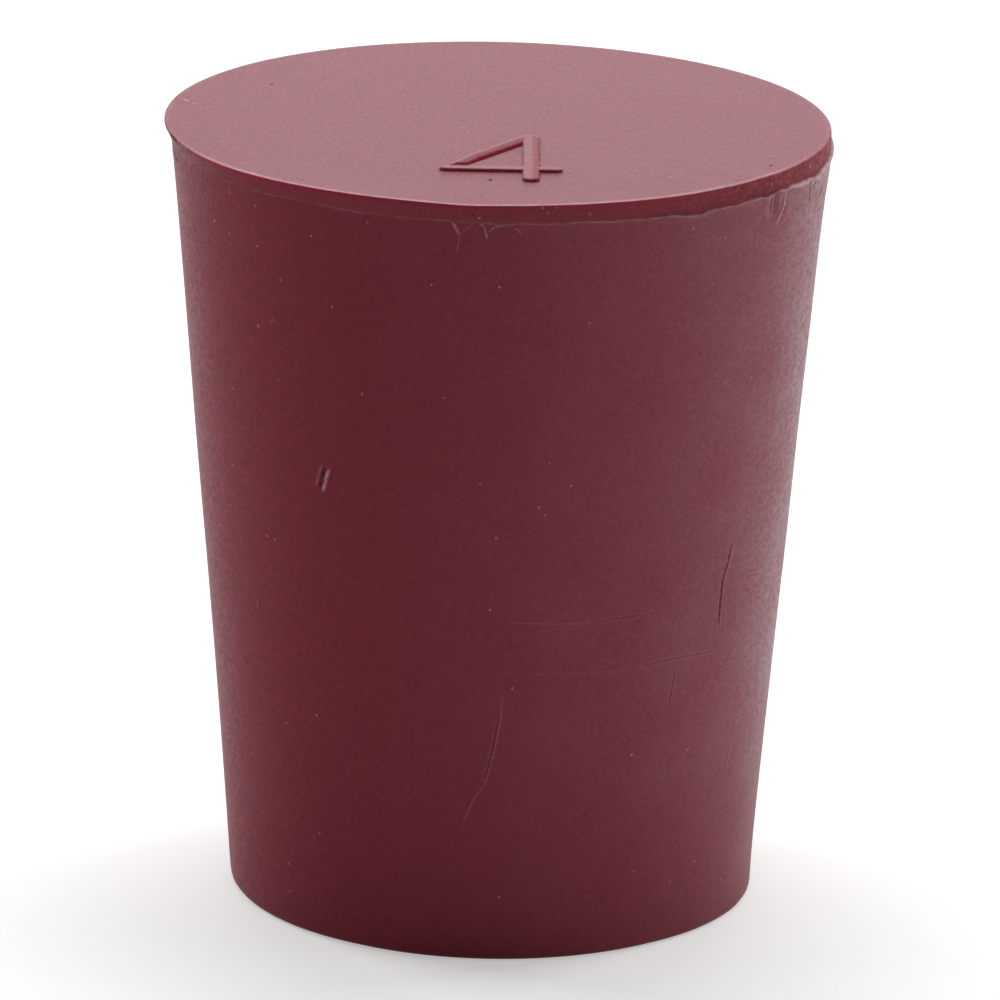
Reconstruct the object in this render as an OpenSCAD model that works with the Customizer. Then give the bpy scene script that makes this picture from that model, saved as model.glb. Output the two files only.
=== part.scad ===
// Solid rubber stopper for laboratory glassware, moulded in one piece.
// A tapered plug that is pressed small end first into a neck. The lower half of the mould
// forms the wall and the small face. The upper half forms the large face and the thin rim
// round it, and the rim stands slightly proud of the wall where the two halves met.
// The origin is the centre of the small face, and +Z runs up the axis to the large face.

/* [Plug] */
// Diameter across the large face, before its edge is rounded
large_d = 22; // [10:0.1:80]
// Diameter of the small end, just above its rounded edge
small_d = 17.5; // [8:0.1:78]
// Height from the small face to the large face
stopper_h = 26.3; // [12:0.1:80]

/* [Rim] */
// Height of the rim, from the parting line up to the large face
rim_h = 0.55; // [0.4:0.05:3]
// How far the top of the wall lies inside the edge of the large face
wall_inset = 0.14; // [0.02:0.01:0.3]
// How far the rim's lower edge stands out from the wall at the parting line
parting_step = 0.08; // [0.02:0.01:0.3]

/* [Rounded edges] */
// Radius of the edge round the small face
small_edge_r = 0.25; // [0.05:0.05:1.5]
// Radius of the edge round the large face
large_edge_r = 0.08; // [0.02:0.02:0.3]

/* [Hidden] */
// A multiple of 4, so that a drawn circle reaches its full radius along both axes
$fn = 180;
rubber_red = "#7d3a41";

large_r = large_d / 2;
small_r = small_d / 2;
parting_z = stopper_h - rim_h;
wall_top_r = large_r - wall_inset;
rim_low_r = wall_top_r + parting_step;

// Centres of the two rounded edges in the half section, as [distance from the axis, height]
small_edge = [small_r - small_edge_r, small_edge_r];
large_edge = [large_r - large_edge_r, stopper_h - large_edge_r];

// Half section on one side of the axis: straight lines from face to face, then a round at each
// edge, which touches its face and the side at a quarter turn
module half_section() {
    polygon([
        [0, 0],
        [small_edge.x, 0],
        [small_r, small_edge.y],
        [wall_top_r, parting_z],
        [rim_low_r, parting_z],
        [large_r, large_edge.y],
        [large_edge.x, stopper_h],
        [0, stopper_h]
    ]);
    translate(small_edge)
        circle(r = small_edge_r);
    translate(large_edge)
        circle(r = large_edge_r);
}

module stopper() {
    color(rubber_red)
        rotate_extrude()
            half_section();
}

stopper();
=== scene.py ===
import math
from collections import namedtuple

import bmesh
import bpy
import numpy as np
from mathutils import Matrix, Vector


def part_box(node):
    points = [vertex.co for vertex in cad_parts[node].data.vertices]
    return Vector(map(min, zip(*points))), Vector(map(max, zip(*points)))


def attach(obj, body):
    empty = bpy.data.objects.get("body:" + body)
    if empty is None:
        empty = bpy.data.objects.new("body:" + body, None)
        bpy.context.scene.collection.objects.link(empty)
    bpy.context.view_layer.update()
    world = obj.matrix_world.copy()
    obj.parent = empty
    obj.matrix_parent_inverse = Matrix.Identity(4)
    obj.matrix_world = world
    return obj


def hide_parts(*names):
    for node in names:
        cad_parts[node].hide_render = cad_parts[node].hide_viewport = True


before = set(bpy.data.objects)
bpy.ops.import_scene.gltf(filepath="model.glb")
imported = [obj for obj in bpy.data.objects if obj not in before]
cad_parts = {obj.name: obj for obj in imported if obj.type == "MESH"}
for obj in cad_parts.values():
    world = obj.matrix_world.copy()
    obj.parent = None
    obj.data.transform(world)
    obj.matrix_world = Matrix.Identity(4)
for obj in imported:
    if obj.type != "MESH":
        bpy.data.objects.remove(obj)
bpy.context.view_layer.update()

bl_info = {
    "name": "Rubber Stopper",
    "version": (1, 0, 0),
    "blender": (4, 5, 0),
    "location": "View3D > Sidebar > Stopper",
    "description": "Builds a moulded rubber stopper with its numbered face, parting line and wear",
    "category": "Add Mesh",
}

LOW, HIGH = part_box("stopper")
MM = 0.001
WHITE = (1.0, 1.0, 1.0, 1.0)

# The mesh: sheets of square cells, which halve where the shape is fine.
COLUMNS = 128  # coarse cells round the wall
COLUMN_DEGREES = 360 / COLUMNS
ROWS = 50  # coarse rows from the small face's edge to the large face's edge
GRID = 32  # coarse cells across a round face; its edge then has COLUMNS of them
WALL_CELL = 0.54  # width of a coarse cell of the wall, in mm
FACE_CELL = 0.68  # width of a coarse cell of the large face, in mm
HALVINGS = 5  # a coarse cell halves up to five times, to 0.017 mm
DETAIL_HALVINGS = 4  # halvings at the marks, the specks and the numeral's strokes
EDGE_HALVINGS = 2  # halvings of the cells on both sides of a face's edge, so that they meet
EDGE_CLEAR = 0.25  # specks nearer than this to the large face's edge get no finer cells, in mm
SAME_POINT = 0.000002  # points of two sheets that lie closer than this are one, in metres
LINE_ROW = 48  # the row where the two mould halves met
TOP_EDGE_ROW = 49.5  # the middle of the rounded edge round the large face
TALC_ROW = 49.6  # from here on the edge carries the large face's talc


def linear(hex_colour):
    """A colour written as sRGB hex, as the four linear numbers that a shader takes."""
    parts = [int(hex_colour[k:k + 2], 16) / 255 for k in (1, 3, 5)]
    return [c / 12.92 if c <= 0.04045 else ((c + 0.055) / 1.055) ** 2.4 for c in parts] + [1.0]


def length(name, description, default):
    """A size that a user can change, in metres."""
    return bpy.props.FloatProperty(
        name=name, description=description, default=default, min=0.0, precision=5, unit="LENGTH"
    )


def colour(name, description, default):
    """A colour that a user can change, from sRGB hex."""
    return bpy.props.FloatVectorProperty(
        name=name, description=description, default=linear(default),
        size=4, min=0.0, max=1.0, subtype="COLOR",
    )


def watts(name, description, default):
    """A lamp's power that a user can change."""
    return bpy.props.FloatProperty(
        name=name, description=description, default=default, min=0.0, unit="POWER"
    )


class StopperSizes(bpy.types.PropertyGroup):
    """Sizes of the moulded plug."""

    large_diameter: length("Large face", "Diameter of the numbered face", HIGH.x - LOW.x)
    small_diameter: length("Small face", "Diameter of the face that it stands on", 0.0175)
    height: length("Height", "Height from face to face", HIGH.z - LOW.z)
    rim: length("Rim", "Height of the band that the upper mould half forms", 0.00055)
    inset: length("Wall inset", "How far the wall's top lies inside the large face", 0.00014)
    small_edge: length("Small edge", "Rounding of the edge round the small face", 0.00025)
    large_edge: length("Large edge", "Rounding of the edge round the large face", 0.00008)
    stroke: length("Numeral stroke", "Width of the numeral's strokes", 0.0005)
    relief: length("Numeral relief", "Height of the numeral above the face", 0.00011)


class StopperWear(bpy.types.PropertyGroup):
    """Traces of moulding and of use."""

    flash: length("Flash lip", "How far the thin lip at the parting line stands out", 0.00006)
    shear: length("Rim shear", "Sideways slip between the mould halves at the large face", 0.000174)
    cut_depth: length("Cut depth", "Depth of a full-depth scratch", 0.00005)
    specks: bpy.props.IntProperty(
        name="Specks", description="Loose specks strewn over the wall and the large face",
        default=110, min=0,
    )
    seed: bpy.props.IntProperty(
        name="Seed", description="Which strewing of specks is used", default=4, min=0
    )


class StopperFinish(bpy.types.PropertyGroup):
    """Colours of the red rubber."""

    rubber: colour("Rubber", "Red natural rubber, iron-oxide filled", "#85343F")
    rim_rubber: colour("Rim rubber", "The same rubber where the polished half moulded it", "#863D44")
    # Painted shade: a line of deeper, clearer red under the large face's lit edge, on the rim.
    thin: colour("Thin edge", "Rubber at the large face's edge, where light comes through", "#A82A45")
    # Painted shade: the numeral's sides that look towards the reader, which have also lost their talc.
    bare: colour("Bare rubber", "Rubber on the numeral's sides, where no talc stays", "#5C0A12")
    # Partly talc and partly a painted reflection, which makes the large face pale.
    talc: colour("Talced face", "The large face, where talc lay on it", "#8E545D")
    # Partly real bloom and partly painted sheen, heaviest where the light grazes the right side and the
    # silhouettes.
    bloom: colour("Bloom", "Pale sulphur and talc bloom on the skin", "#A08C92")
    # Worn edges and painted highlights: along the large face's edge, on the lip and on the numeral's far
    # edges and crests.
    worn_and_highlight: colour("Worn edges", "Sharp edges rubbed pale", "#D09CA6")
    dust: colour("Dust", "Specks of talc and lint", "#D8B4B4")
    # Soil in grains and pits, and painted shade: at the foot and the rim on the right side, and the painted
    # shadow at the numeral's feet. Cuts and the crease above the lip are darkened with it too.
    soil_and_shade: colour("Soil", "Dirt in cuts and pits, and handling marks", "#301E22")


class StageLook(bpy.types.PropertyGroup):
    """Floor, light and camera."""

    floor: colour("Floor", "Matt white paper sweep", "#E0E0E0")
    top: watts("Top light", "Power of the overhead softbox in watts", 0.45)
    right: watts("Right light", "Power of the softbox behind on the right in watts", 0.28)
    left: watts("Left light", "Power of the softbox behind on the left in watts", 0.31)
    low: watts("Low light", "Power of the low softbox on the right in watts", 0.19)
    sky: bpy.props.FloatProperty(
        name="Room light", description="Strength of the plain grey room", default=0.18
    )
    glow: bpy.props.FloatProperty(
        name="Floor glow", description="Light that only views of the floor get, to show it white",
        default=0.4,
    )
    distance: length("Camera distance", "From the camera to the plug's middle", 0.2844)
    elevation: bpy.props.FloatProperty(
        name="Camera elevation", description="Height of the camera above the horizon",
        default=math.radians(16.757), subtype="ANGLE",
    )
    roll: bpy.props.FloatProperty(
        name="Camera roll", description="Lean of the camera about its own axis",
        default=math.radians(1.048), subtype="ANGLE",
    )
    lens: bpy.props.FloatProperty(name="Lens", description="Focal length in millimetres", default=306.0)
    aim_right: length("Aim right", "How far right of the plug's middle the camera aims", 0.000128)
    aim_up: length("Aim up", "How far above the plug's middle the camera aims", 0.00008)


# A raised stroke of the numeral on the large face: its end points in mm from the face's middle, y away from
# the reader; its width as a share of the full one; how much of its left and right half slopes; where across
# it the talc is rubbed off, from -1 at its left edge to 1 at its right; how flat its crown stays before the
# side falls; how many times narrower its left half is; and the y below which it is cut off.
Stroke = namedtuple("Stroke", "start end width left_slope right_slope rubbed_from crown narrow cut_at")
NUMERAL = (
    Stroke((1.115, -7.74), (1.115, -2.5), 1.14, 0.25, 1.0, -0.1, crown=2.5, narrow=1, cut_at=-9.0),
    Stroke((-1.63, -6.57), (1.91, -6.57), 0.92, 0.4, 0.3, 0.5, crown=2.5, narrow=1, cut_at=-9.0),
    Stroke((-1.4, -5.8), (0.86, -2.5), 1.75, 0.6, 1.0, 0.0, crown=1.3, narrow=4, cut_at=-5.76),
)

# Tables round the plug give a value at angles in degrees from the front, to the right.
# How far the parting line strays from its level, in mm.
LINE_STRAY = (
    (-180, 0.0), (-150, -0.05), (-120, 0.03), (-85, 0.0), (-51, -0.01), (-39, 0.02), (-28, 0.03),
    (-17, -0.02), (-12, -0.02), (-8, 0.0), (-4.5, -0.05), (-3, -0.03), (0.5, -0.1), (3, -0.07), (8, -0.07),
    (15, -0.02), (19, -0.05), (23, -0.06), (27, -0.06), (30, -0.07), (34, -0.17), (36, -0.16),
    (38, -0.09), (41, -0.09), (44, -0.12), (46, -0.1), (50, -0.09), (52, -0.14), (54.5, -0.06),
    (58, -0.08), (60, -0.06), (64, -0.12), (67, -0.15), (71, -0.22), (75, -0.15), (83, -0.1), (105, 0.02),
    (135, -0.06), (160, 0.03), (180, 0.0),
)
# How far the large face's edge strays up and down, in mm, besides its waves.
FACE_STRAY = (
    (-180, 0.0), (-90, 0.0), (-75, -0.02), (-61, -0.034), (-53, -0.03), (-46, -0.007), (-41, 0.003),
    (-36, 0.02), (-28, 0.035), (-17, 0.034), (-11, 0.018), (-7, -0.002), (-5, -0.014), (-2, -0.004),
    (2, 0.01), (9, 0.02), (20, 0.024), (27, 0.008), (35, 0.003), (40, 0.014), (46, 0.01), (51, 0.027),
    (56, 0.006), (64, 0.01), (80, 0.0), (180, 0.0),
)
# How far the small face's edge stands out from a true circle, in mm.
FOOT_OUT = (
    (-180, 0.0), (-110, 0.0), (-75, -0.03), (-50, -0.04), (-30, -0.1), (-12, -0.06), (10, -0.04),
    (38, -0.03), (51, 0.05), (60, 0.08), (69, 0.11), (80, 0.08), (90, 0.03), (120, 0.0), (180, 0.0),
)
# How much flash stands along the parting line, as a share of the full lip.
FLASH_AMOUNT = (
    (-180, 0.5), (-140, 0.7), (-100, 0.3), (-70, 0.05), (-56, 0.1), (-42, 0.25), (-34, 0.12), (-28, 0.3),
    (-22, 0.2), (-12, 0.12), (-9, 0.35), (-5, 0.2), (-2, 0.4), (3, 0.25), (9, 0.35), (15, 0.45), (22, 0.5),
    (30, 0.7), (38, 0.75), (44, 0.6), (50, 0.9), (58, 0.7), (64, 1.1), (68, 1.3), (80, 1.3),
    (95, 1.0), (120, 0.7), (150, 0.8), (180, 0.5),
)
# How much bloom the wall and the rim carry, from none to fully pale. Part of it is painted sheen, heaviest
# on the right side and at the silhouettes, where the light grazes.
BLOOM_AND_SHEEN_ROUND = (
    (-180, 0.1), (-130, 0.18), (-100, 0.25), (-84, 0.2), (-74, 0.08), (-62, 0.0), (-25, 0.0), (-10, 0.02),
    (0, 0.04), (10, 0.07), (20, 0.09), (30, 0.12), (50, 0.2), (60, 0.27), (65, 0.36), (73, 0.52),
    (78, 0.56), (86, 0.65), (100, 0.6), (130, 0.25), (160, 0.12), (180, 0.1),
)
RIM_BLOOM_AND_SHEEN = (
    (-180, 0.1), (-100, 0.35), (-84, 0.35), (-74, 0.38), (-66, 0.26), (-60, 0.09), (-54, 0.03), (-46, 0.0),
    (-38, 0.0), (70, 0.0), (78, 0.04), (86, 0.2), (100, 0.45), (130, 0.25), (180, 0.1),
)
# How strong the painted highlight along the large face's edge is.
EDGE_HIGHLIGHT = (
    (-180, 0.3), (-100, 0.2), (-74, 0.12), (-64, 0.45), (-56, 0.9), (-46, 1.05), (-35, 1.05), (0, 0.95),
    (25, 0.9), (45, 0.85), (56, 0.62), (65, 0.3), (75, 0.12), (100, 0.2), (180, 0.3),
)
# How strongly the rim's upper edge shows a painted shade line of deeper, clearer red, from none to fully.
RIM_RED_SHADE = (
    (-180, 0.5), (-70, 0.5), (-56, 0.9), (-25, 1.0), (-15, 0.8), (0, 0.6), (12, 0.4), (28, 0.5), (40, 0.2),
    (48, 0.05), (80, 0.0), (100, 0.3), (180, 0.5),
)
# Painted shade on the rim on the right side, which gets less light than the wall.
RIM_SHADE = ((25, 0.0), (48, 0.1), (62, 0.1), (80, 0.07))
# How strongly the rim and the wall are freckled.
RIM_FRECKLES = (
    (-180, 0.3), (-72, 0.38), (-60, 0.22), (-48, 0.12), (-30, 0.07), (25, 0.08), (40, 0.2), (60, 0.34),
    (180, 0.3),
)
WALL_FRECKLES = (
    (-180, 0.1), (-100, 0.3), (-72, 0.35), (-62, 0.18), (-50, 0.12), (-30, 0.09), (50, 0.08), (100, 0.08),
    (180, 0.1),
)
# Where the lip is torn at the far right: the lowest row that is rubbed there, and how chalky it has turned.
TORN_FOOT = ((58, 47.875), (68, 47.6), (90, 47.6), (110, 47.875))
TORN_CHALK = ((52, 0.0), (58, 0.6), (68, 1.0), (86, 1.0), (95, 0.0))

# Tables up the wall give a value at heights in mm.
# How far the wall stands out from true, in mm, as the rubber gave on leaving the mould.
GIVE_LEFT = (
    (0, 0.033), (0.6, 0.033), (2, 0.013), (4, 0.0), (8, -0.007), (12, 0.017), (16, 0.033), (20, 0.04),
    (22, 0.057), (24, 0.065), (25.7, 0.08),
)
GIVE_RIGHT = (
    (0, 0.04), (0.6, 0.037), (1.2, 0.023), (2, 0.007), (4, -0.005), (8, -0.018), (12, -0.013), (16, -0.025),
    (20, -0.023), (22.5, -0.035), (24, -0.017), (24.6, 0.007), (25, 0.023), (25.7, 0.03),
)
# How much of the wall's bloom and painted sheen is kept, less towards the bottom, and the painted shade at
# the foot on the right side, where less light reaches.
BLOOM_AND_SHEEN_UP = ((0, 0.3), (2, 0.45), (6, 0.75), (10, 1.0), (25, 1.0))
FOOT_SHADE = ((0, 0.25), (2, 0.125), (7, 0.0))

# Tables by row give the share of a trait that each row has.
LINE_ROWS = ((46.5, 0), (47.75, 1), (48.25, 1), (48.9, 0))  # rows that stray up and down with the line
GIVE_ROWS = ((0, 0), (1, 1), (48.25, 1), (49, 0))  # rows that gave
UNEVEN_ROWS = ((0, 0), (1.5, 1), (47.5, 1), (48.1, 0))  # rows with the wall's unevenness
LIP_ROWS = ((47.75, 0), (47.875, 0.15), (48, 1), (48.125, 0))  # how the lip of flash stands out
LEDGE_ROWS = ((48, 0), (48.125, 1), (49, 0))  # the nick above the lip
UPPER_ROWS = ((48.1, 0), (49, 1))  # rows that go with the large face's own shape
SLIP_ROWS = ((48.25, 0), (49, -0.95), (50, -1))  # rows that slipped sideways with the upper half
FACE_ROWS = ((49, 0), (50, 1))  # rows that take up the large face's unevenness
EDGE_HIGHLIGHT_ROWS = ((49.5, 0), (49.65, 1), (49.9, 0.9), (50, 0.7))  # where the painted highlight along the large face's edge lies
LIP_PALED_ROWS = ((48, 1), (48.125, 0.2), (48.126, 0))  # where the lip is painted pale, partly worn and partly a painted highlight, above the line
LIP_SHEEN_ROWS = ((47, 0), (47.5, 0.35), (47.9, 1))  # painted sheen under the lip
RED_SHADE_ROWS = ((48.6, 0), (49, 0.5), (49.6, 0.8), (49.7, 0))  # the painted shade line of deeper, clearer red under the edge
CREASE_ROWS = ((48, 0), (48.125, 1), (48.25, 0.7), (48.6, 0))  # darker in the crease above the lip
# Rows that are finer all round, and how many halvings they get.
FINE_ROWS = ((0.5, 2), (47.6, 3), (47.9, 3), (48.15, 3), (48.8, 2), (49.5, 2))

# Waves round the large face: how far they stand out and up in mm, turns, phase in degrees.
FACE_OUT = ((0.011, 0, 90), (0.015, 2, -17))
FACE_UP = ((0.026, 0, 90), (0.027, 1, -144), (0.013, 2, -53))
# Slow waves of a moulded skin: how far they stand out in mm, turns along each way, phase.
WALL_WAVES = (
    (0.004, 3, 0.21, 1.9), (0.004, 5, -0.37, 2.7), (0.003, 9, 0.62, 5.1), (0.002, 14, -1.1, 0.8),
)
FACE_WAVES = ((0.006, 0.31, 0.22, 0.7), (0.003, -0.55, 0.7, 2.2), (0.002, 1.1, 0.9, 4.0))
LINE_WAVES = (
    (0.010, 7, 0, 1.3), (0.008, 17, 0, 0.2), (0.006, 41, 0, 4.4), (0.005, 83, 0, 2.0), (0.004, 131, 0, 5.3),
)

# Marks on the wall: height of the relief as a share of the full cut (below 0 is cut in, above 0 stands up),
# width in mm, and the points (degrees from the front, mm above the small face).
WALL_MARKS = (
    # The long bent score low on the front, half of it open.
    (0.3, 0.07, ((2.1, 9.8), (1.6, 8.5), (0.4, 7.4), (-1.3, 6.3), (-3.5, 5.8), (-5.1, 5.1), (-6.1, 4.5))),
    (-0.6, 0.06, ((1.3, 8.7), (0.0, 7.4), (-1.7, 6.2))),
    # Two long scores across the right of the front, raised at their left ends and cut in at their right.
    (0.16, 0.06, ((1.0, 12.0), (3.7, 12.0), (15.6, 11.9), (23.0, 11.94))),
    (-0.6, 0.05, ((19.0, 11.92), (25.4, 11.95), (34.0, 11.95))),
    (0.12, 0.06, ((5.0, 10.25), (8.1, 10.2), (24.0, 10.1), (32.0, 10.15))),
    (-0.5, 0.06, ((27.0, 10.12), (36.9, 10.2), (46.3, 10.1), (52.9, 10.05))),
    # The upright score on the right, with its branch and the small ones below it.
    (-1.1, 0.08, ((51.8, 13.9), (51.1, 13.1), (49.8, 12.5), (49.8, 11.3), (49.9, 10.8))),
    (0.5, 0.06, ((50.6, 12.7), (50.4, 12.3), (50.3, 11.3), (50.3, 11.0))),
    (-0.4, 0.07, ((51.5, 12.3), (58.3, 12.5), (63.9, 12.3), (65.7, 12.7))),
    (-0.6, 0.06, ((38.7, 9.7), (37.8, 8.6))),
    (0.5, 0.08, ((60.5, 7.2), (57.6, 5.5))),
    # Nicks on the left of the front.
    (1.3, 0.12, ((-32.2, 16.8), (-33.0, 16.4), (-33.9, 15.9))),
    (-1.3, 0.12, ((-33.2, 16.85), (-34.0, 16.45), (-34.8, 16.0))),
    (0.8, 0.06, ((-53.5, 11.4), (-53.2, 11.1))),
    (-0.5, 0.09, ((-44.6, 21.5), (-43.9, 21.35))),
    # Threads of flash that run down from the line at the front.
    (0.7, 0.1, ((-8.2, 25.72), (-7.7, 25.54), (-7.1, 25.3), (-7.0, 25.2))),
    (0.35, 0.05, ((-7.0, 25.24), (-7.2, 24.93), (-7.5, 24.62))),
    (0.2, 0.06, ((-7.0, 25.24), (-6.0, 25.48), (-4.8, 25.6))),
    (0.8, 0.06, ((-3.9, 25.62), (-3.3, 25.66), (-2.8, 25.56), (-2.5, 25.33), (-2.2, 25.1))),
    (0.5, 0.06, ((-2.0, 25.37), (-1.8, 25.45), (-1.0, 25.6), (0.5, 25.62))),
    (0.4, 0.06, ((2.0, 25.54), (2.8, 25.5), (3.6, 25.3))),
    # The torn strip on the right: a bare bed between a cut and a ridge.
    (-1.0, 0.36, ((54.9, 25.72), (54.6, 25.32), (54.9, 24.9))),
    (-0.8, 0.08, ((53.7, 25.66), (53.3, 25.32), (53.4, 25.0))),
    (1.1, 0.14, ((57.7, 25.66), (57.6, 25.2), (56.9, 24.88), (55.6, 24.53))),
    # The notch in the lip further right, and the tears beside it.
    (-1.8, 0.14, ((70.0, 25.68), (69.3, 25.63), (68.4, 25.57), (67.8, 25.51), (67.2, 25.43))),
    (-0.6, 0.12, ((67.2, 25.43), (67.4, 25.36), (67.9, 25.06), (68.6, 24.72))),
    # The nick in the rim at the far left, with the rubber that it pushed up.
    (-1.7, 0.12, ((-77.4, 26.26), (-76.0, 26.25), (-74.5, 26.24), (-73.0, 26.21), (-71.6, 26.17))),
    (1.0, 0.14, ((-78.4, 26.01), (-78.3, 25.88), (-77.5, 25.78), (-76.3, 25.72))),
    (1.0, 0.1, ((72.4, 25.6), (70.9, 25.4), (69.5, 25.1))),
    (-1.2, 0.3, ((76.5, 25.0), (75.7, 24.83), (75.6, 24.61))),
    (-1.2, 0.2, ((-86.0, 25.6), (-81.0, 25.45), (-77.0, 25.3))),
    # A few plain ones on the back.
    (0.6, 0.07, ((148.0, 17.5), (151.0, 14.2), (150.0, 11.8), (146.0, 9.9))),
    (-0.5, 0.06, ((168.0, 12.2), (180.0, 12.1), (196.0, 12.25))),
    (0.8, 0.08, ((-128.0, 19.4), (-126.5, 17.9), (-127.0, 16.8))),
    (-0.6, 0.06, ((-112.0, 8.4), (-101.0, 8.2), (-92.0, 8.3))),
    (-0.9, 0.13, ((118.0, 25.6), (118.9, 25.2), (119.3, 24.8))),
    (0.8, 0.12, ((-154.0, 25.6), (-153.2, 25.2), (-152.8, 24.8))),
)

# Specks that are always there. On the wall: degrees from the front, mm above the small face, radius in mm.
WALL_SPECKS = (
    (-47.9, 21.1, 0.06), (-44.3, 21.4, 0.035), (-61.7, 14.3, 0.04), (-46.7, 13.8, 0.04), (-48.2, 2.3, 0.04),
    (-48.4, 1.3, 0.04), (49.3, 2.6, 0.04), (60.4, 1.5, 0.04), (-3.5, 25.87, 0.045), (7.7, 26.21, 0.035),
    (10.1, 26.21, 0.03), (8.3, 26.05, 0.03), (15.3, 25.96, 0.035), (53.4, 26.0, 0.035),
    (58.4, 25.87, 0.035),
    (67.3, 26.02, 0.06), (60.2, 26.14, 0.03), (-51.1, 25.95, 0.03), (-68.5, 25.65, 0.05),
    (-53.8, 25.38, 0.035), (-58.7, 24.78, 0.035), (-46.7, 25.24, 0.03), (-63.6, 24.75, 0.035),
    (-59.6, 24.17, 0.06), (-70.7, 23.63, 0.04), (-34.2, 24.66, 0.035), (-11.8, 23.52, 0.04),
    (-23.1, 25.42, 0.025), (34.6, 25.12, 0.035), (42.1, 24.58, 0.035), (50.7, 23.99, 0.03),
    (66.9, 24.86, 0.04),
)
# On the large face: mm from its middle, radius in mm. The first ones lie close together, as a streak.
FACE_SPECKS = (
    (-10.42, 1.88, 0.058), (-10.39, 1.78, 0.075), (-10.35, 1.67, 0.075), (-10.31, 1.56, 0.07),
    (-10.1, 1.4, 0.05), (-10.03, 1.36, 0.04), (-9.62, -4.07, 0.045), (-1.17, -1.14, 0.045),
    (-0.98, -1.82, 0.05), (2.34, -4.52, 0.045), (2.35, -6.53, 0.05), (-3.8, -7.0, 0.04),
    (7.38, -3.05, 0.05),
    (6.74, -6.2, 0.05), (5.56, -7.13, 0.06), (9.0, -4.28, 0.07), (7.75, -7.15, 0.06),
)
# Dark grains of dirt and pits, in the same measures.
WALL_GRAINS = (
    (-4.3, 25.97, 0.05), (-5.2, 26.0, 0.03), (45.6, 26.17, 0.045), (52.9, 26.19, 0.05), (51.8, 26.19, 0.03),
    (57.2, 26.17, 0.04), (66.6, 26.13, 0.04), (-61.5, 25.5, 0.05), (-72.5, 25.4, 0.04), (-78.5, 23.0, 0.05),
    (63.0, 24.78, 0.04), (40.5, 24.74, 0.025), (-68.3, 25.5, 0.035), (-60.6, 25.68, 0.03),
    (-56.4, 25.95, 0.03), (-54.3, 25.9, 0.035), (-53.2, 25.93, 0.03), (-52.7, 25.62, 0.03),
)
FACE_GRAINS = ((-0.2, -7.79, 0.08), (8.88, -5.34, 0.065), (-6.2, -8.3, 0.04))
FACE_PITS = ((-7.6, 4.2, 0.07), (-2.7, -0.5, 0.05))
STREWN_ON_WALL = 0.75  # share of the loose specks that lie on the wall
STREWN_UP = (0.6, 24.6)  # how far up the wall they lie, in mm
STREWN_REACH = 10.4  # how far from its middle they lie on the large face, in mm
WALL_SPECK_RADII = (0.03, 0.045)
FACE_SPECK_RADII = (0.025, 0.045)

WIDE_MARK = 0.2  # marks wider than this are even all over, and only narrower ones are darkened, in mm
RIM_MARK = 0.25  # marks that come this close to the large face cross the parting line, in mm
LEDGE = 0.07  # depth of the ledge behind the lip, in mm
FOOT_OUT_HEIGHT = 0.7  # how far up the small edge's outline is felt, in mm
BARE_FROM = 0.3  # from this much deep red on, a cell of the large face has the numeral's bare skin
FACE_FRECKLES = 0.12
FOOT_FRECKLES = 0.1
FOOT_BLOOM = 0.1

# What the skin carries, from 0 to 1: dust; rubbing to pale and painted highlights; bloom or talc, partly
# painted sheen and reflection; the deeper red of painted shade on the numeral's near sides and under the
# large face's edge;
# soil and painted shade; and how freckled it is.
AMOUNTS = ("dust", "scuff", "bloom", "deep", "grime", "freckles")

# The four skins of the one red rubber: the colours that they show, how strongly they gleam, how rough they
# are, the sheen of fine powder on them, how deep their grain is, and how patchy their bloom is.
Skin = namedtuple("Skin", "name body pale deep gloss roughness sheen grain patchy")
SKINS = (
    Skin("Red_rubber_moulded_wall", "rubber", "bloom", "thin", 0.06, 0.5, 0.05, grain=1.0, patchy=1.0),
    Skin("Red_rubber_polished_rim", "rim_rubber", "bloom", "thin", 0.025, 0.55, 0.0, grain=0.6, patchy=0.6),
    Skin("Red_rubber_moulded_face", "rubber", "talc", "bare", 0.15, 0.4, 0.05, grain=1.0, patchy=0.03),
    Skin("Red_rubber_numeral_sides", "rubber", "talc", "bare", 0.02, 0.6, 0.0, grain=0.5, patchy=0.03),
)
WALL_SKIN, RIM_SKIN, FACE_SKIN, NUMERAL_SIDE_SKIN = range(len(SKINS))

# Softboxes: name, whose power they take from StageLook, place and size in metres, whether they show in
# gloss, and whether they are turned to the large face instead of the plug's middle.
Softbox = namedtuple("Softbox", "name power place size gleams on_face")
SOFTBOXES = (
    Softbox("Softbox_top", "top", (0.0, 0.07, 0.3), (0.14, 0.12), gleams=False, on_face=True),
    Softbox("Softbox_right_back", "right", (0.2, 0.12, 0.16), (0.12, 0.12), gleams=True, on_face=False),
    Softbox("Softbox_left_back", "left", (-0.2, 0.12, 0.16), (0.12, 0.12), gleams=False, on_face=False),
    Softbox("Softbox_right_low", "low", (0.28, -0.02, 0.05), (0.12, 0.1), gleams=True, on_face=False),
)


def ramp(at, points):
    """Straight lines between points, each a place and the value there."""
    places, values = zip(*points)
    return np.interp(at, places, values)


def round_table(degrees, table):
    """Values of a table round the plug, at any angles."""
    return ramp((degrees + 180) % 360 - 180, table)


def disc_from_square(a, b):
    """Places the cells of a square grid on a round face, so that its edge is cut in equal parts."""
    wide = np.abs(a) >= np.abs(b)
    reach = np.where(wide, a, b)
    safe = np.where(reach == 0, 1.0, reach)
    turn = np.where(wide, math.pi / 4 * b / safe, math.pi / 2 - math.pi / 4 * a / safe)
    return reach * np.cos(turn), reach * np.sin(turn)


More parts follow.
